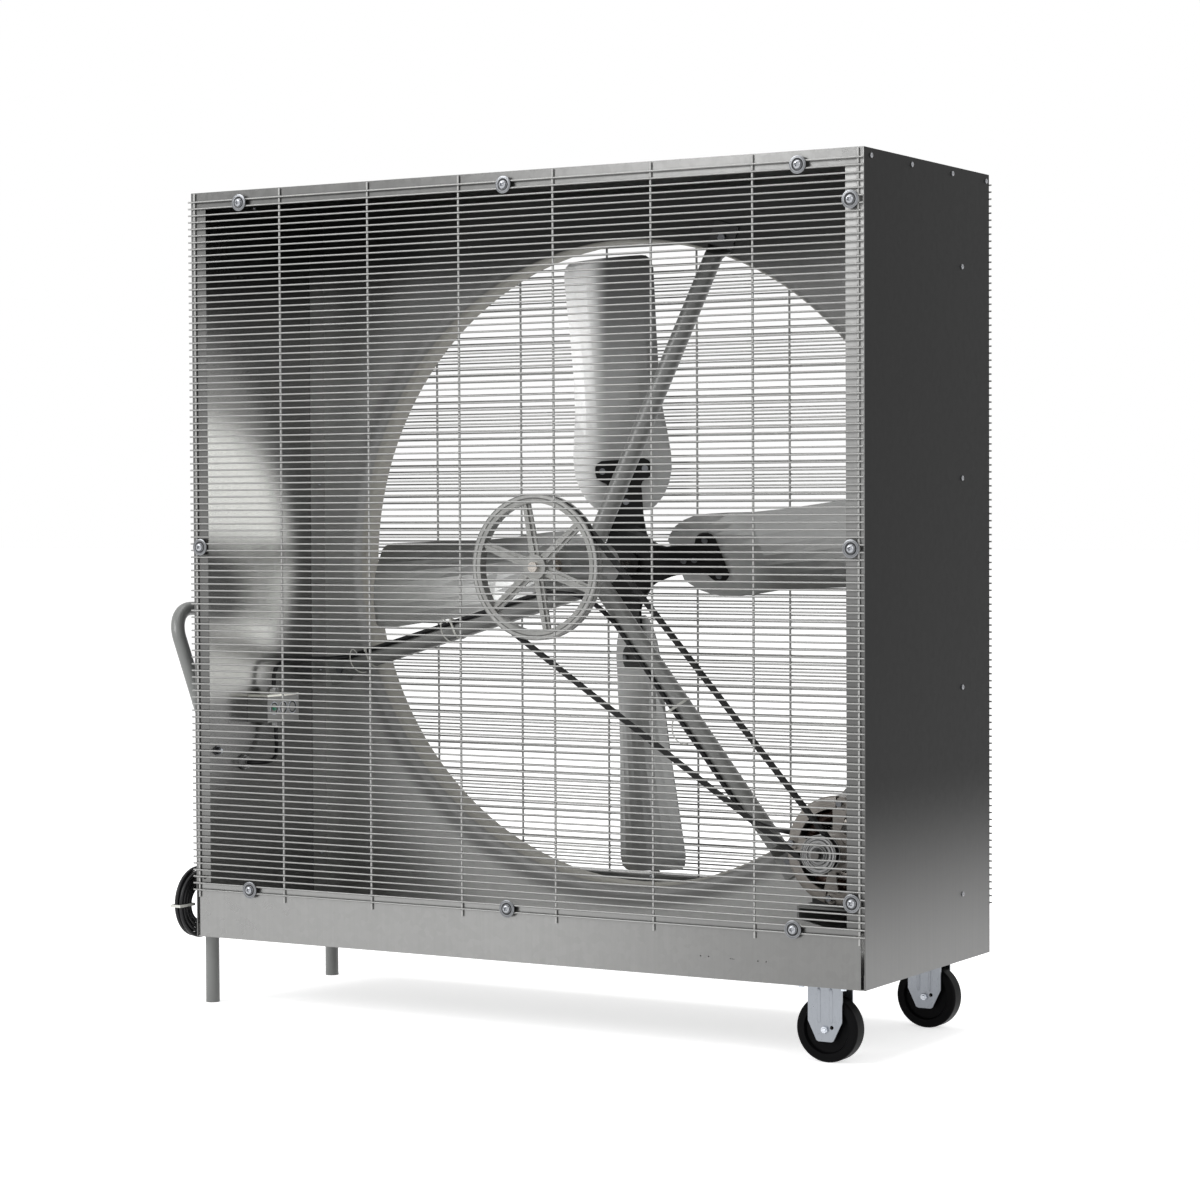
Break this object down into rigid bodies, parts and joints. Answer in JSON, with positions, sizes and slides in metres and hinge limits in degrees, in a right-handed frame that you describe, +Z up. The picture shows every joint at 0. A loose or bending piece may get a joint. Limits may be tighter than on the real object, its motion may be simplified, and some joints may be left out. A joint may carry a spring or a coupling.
{
  "type": "portable blower fan",
  "caption": "Portable belt-driven blower fan in a square galvanised cabinet with wire guards, side handle legs, wheels and a coiled supply cord.",
  "frame": {"origin": "centre of the object's footprint on the floor, measured without the supply cord", "axes": "+Z up, +X to the right seen from the front, -Y towards the front guard; the fan shaft lies along Y"},
  "size_m": [1.5364, 0.5548, 1.552],
  "materials": {
    "galvanised_sheet": "galvanised, dull spangle",
    "guard_wire": "light grey, satin",
    "zinc_fasteners": "zinc plated, slightly dulled",
    "zinc_plate": "bright zinc plated",
    "die_cast_zinc": "die cast, matte",
    "leg_paint": "grey, satin",
    "wheel_rubber": "black, matte",
    "machined_steel": "turned",
    "frame_paint": "mid grey, satin",
    "pulley_casting": "raw casting with turned rim",
    "spider_paint": "black, satin",
    "blade_sheet": "galvanised, bright",
    "belt_rubber": "black, matte",
    "motor_paint": "warm grey, satin",
    "motor_dark_paint": "dark grey, satin",
    "switch_plastic": "ivory",
    "toggle_plastic": "black",
    "cord_jacket": "black, satin",
    "plug_vinyl": "black moulded",
    "tie_nylon": "white nylon"
  },
  "bodies": {
    "cabinet": {"side_panel_left": "galvanised_sheet", "side_panel_right": "galvanised_sheet", "top_panel": "galvanised_sheet", "bottom_panel": "galvanised_sheet", "orifice_panel": "galvanised_sheet", "front_guard": "guard_wire", "rear_guard": "guard_wire", "guard_washers": "zinc_fasteners", "guard_screws": "zinc_fasteners", "guard_nuts": "zinc_fasteners", "panel_screws": "zinc_fasteners", "leg_handle_tube": "leg_paint", "leg_bolts": "zinc_fasteners", "leg_nuts": "zinc_fasteners", "caster_fork_front": "zinc_plate", "caster_fork_rear": "zinc_plate", "caster_bolts": "zinc_fasteners", "caster_axles": "zinc_fasteners", "arm_top": "frame_paint", "arm_left": "frame_paint", "arm_lower": "frame_paint", "arm_bolts": "zinc_fasteners", "bearing_housing": "frame_paint", "bearing_front": "machined_steel", "bearing_rear": "machined_steel", "drive_belt": "belt_rubber", "motor_shell": "motor_paint", "motor_front_bell": "motor_paint", "motor_rear_bell": "motor_paint", "motor_bolts": "zinc_fasteners", "motor_stator": "machined_steel", "motor_foot": "motor_dark_paint", "motor_bracket": "frame_paint", "motor_bracket_bolts": "zinc_fasteners", "conduit_box": "motor_dark_paint", "switch_box": "zinc_plate", "switch_body": "switch_plastic", "switch_plate": "zinc_plate", "cable_clamps": "die_cast_zinc", "motor_cable": "cord_jacket", "supply_cord": "cord_jacket", "cord_coil": "cord_jacket", "plug": "plug_vinyl", "cable_ties": "tie_nylon"},
    "fan": {"fan_shaft": "machined_steel", "drive_pulley": "pulley_casting", "pulley_set_screw": "zinc_fasteners", "prop_spider": "spider_paint", "blade_1": "blade_sheet", "blade_2": "blade_sheet", "blade_3": "blade_sheet", "blade_4": "blade_sheet", "blade_bolts": "zinc_fasteners"},
    "motor_rotor_body": {"motor_rotor": "machined_steel", "motor_pulley": "pulley_casting"},
    "front_wheel": {"wheel_front": "wheel_rubber", "wheel_bush_front": "machined_steel"},
    "rear_wheel": {"wheel_rear": "wheel_rubber", "wheel_bush_rear": "machined_steel"},
    "toggle": {"switch_toggle": "toggle_plastic"}
  },
  "joints": [
    {"name": "fan_spin", "type": "hinge", "parent": "cabinet", "child": "fan", "pos_m": [0.05935, 0, 0.844], "axis": [0, 1, 0], "continuous": true},
    {"name": "motor_spin", "type": "hinge", "parent": "cabinet", "child": "motor_rotor_body", "pos_m": [0.63235, 0, 0.35], "axis": [0, 1, 0], "continuous": true},
    {"name": "front_wheel_spin", "type": "hinge", "parent": "cabinet", "child": "front_wheel", "pos_m": [0.67135, -0.204, 0.058], "axis": [0, 1, 0], "continuous": true},
    {"name": "rear_wheel_spin", "type": "hinge", "parent": "cabinet", "child": "rear_wheel", "pos_m": [0.67135, 0.204, 0.058], "axis": [0, 1, 0], "continuous": true},
    {"name": "toggle_flip", "type": "hinge", "parent": "cabinet", "child": "toggle", "pos_m": [-0.63305, -0.047, 0.563], "axis": [0, 0, 1], "range_deg": [0, 40]}
  ],
  "couplings": [
    {"joint": "motor_spin", "follows": "fan_spin", "ratio": 4.98}
  ]
}
